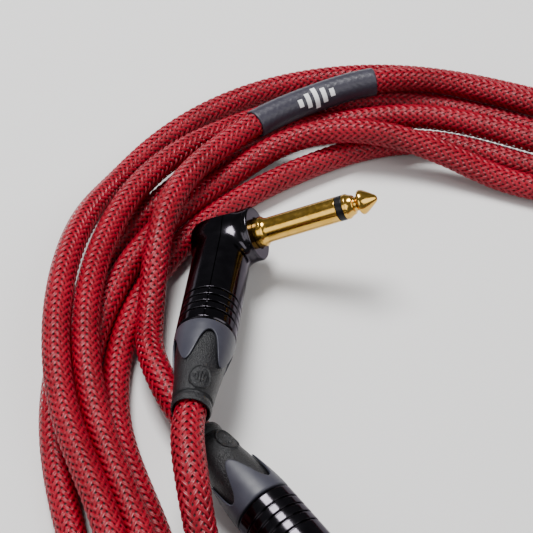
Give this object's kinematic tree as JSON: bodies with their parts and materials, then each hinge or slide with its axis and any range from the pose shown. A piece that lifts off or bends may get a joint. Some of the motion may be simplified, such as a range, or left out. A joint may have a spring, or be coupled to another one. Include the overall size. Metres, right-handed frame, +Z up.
{
  "type": "instrument cable",
  "caption": "Coiled braided instrument cord with a straight and a right-angle 6.35 mm plug, each with a screw-off strain relief boot",
  "frame": {"origin": "on the table, under the middle of the box round both plugs", "axes": "+Z up from the table; +Y from the straight plug's tip towards the right-angle plug's head; +X towards the coil's far side"},
  "size_m": [0.2446, 0.2725, 0.0278],
  "materials": {
    "black_chrome": "glossy black chrome",
    "gold_plate": "polished gold plating",
    "black_plastic": "black moulded plastic",
    "tinned_metal": "tinned sheet metal",
    "chuck_plastic": "hard black plastic",
    "dark_rubber": "dark fine-textured rubber",
    "grey_rubber": "smooth satin grey",
    "red_insulation": "red wire insulation",
    "bare_copper": "bare stranded copper",
    "red_braid": "braided polyester sleeving, red, with small dark holes",
    "label_sleeve": "dark grey heat-shrink sleeve"
  },
  "bodies": {
    "root": {"straight_housing": "black_chrome", "angled_housing_front": "black_chrome", "angled_housing_back": "black_chrome", "straight_jack_sleeve": "gold_plate", "straight_insulator": "black_plastic", "straight_tip_contact": "gold_plate", "straight_ground_tag": "tinned_metal", "straight_tip_tag": "tinned_metal", "straight_core_wire": "red_insulation", "straight_shield_wire": "bare_copper", "angled_jack_sleeve": "gold_plate", "angled_insulator": "black_plastic", "angled_tip_contact": "gold_plate", "angled_ground_tag": "tinned_metal", "angled_tip_tag": "tinned_metal", "angled_core_wire": "red_insulation", "angled_shield_wire": "bare_copper", "cable_coil": "red_braid", "cable_lead": "red_braid", "cable_tail": "red_braid", "length_label": "label_sleeve"},
    "straight_clamp": {"straight_chuck": "chuck_plastic"},
    "straight_boot": {"straight_bushing": "dark_rubber", "straight_boot_shell": "grey_rubber"},
    "angled_clamp": {"angled_chuck": "chuck_plastic"},
    "angled_boot": {"angled_bushing": "dark_rubber", "angled_boot_shell": "grey_rubber"}
  },
  "joints": [
    {"name": "straight_boot_back", "type": "slide", "parent": "root", "child": "straight_clamp", "axis": [-0.6102, 0.7923, 0], "range_m": [0, 0.004]},
    {"name": "straight_boot_screw", "type": "hinge", "parent": "straight_clamp", "child": "straight_boot", "pos_m": [-0.00829, -0.0171, 0.00725], "axis": [-0.6102, 0.7923, 0], "range_deg": [0, 1440]},
    {"name": "angled_boot_back", "type": "slide", "parent": "root", "child": "angled_clamp", "axis": [-0.1028, -0.9798, 0.1718], "range_m": [0, 0.004]},
    {"name": "angled_boot_screw", "type": "hinge", "parent": "angled_clamp", "child": "angled_boot", "pos_m": [-0.02216, 0.02354, 0.01478], "axis": [-0.1028, -0.9798, 0.1718], "range_deg": [0, 1440]}
  ],
  "couplings": [
    {"joint": "straight_boot_back", "follows": "straight_boot_screw", "m_per_rad": 0.00015915},
    {"joint": "angled_boot_back", "follows": "angled_boot_screw", "m_per_rad": 0.00015915}
  ]
}
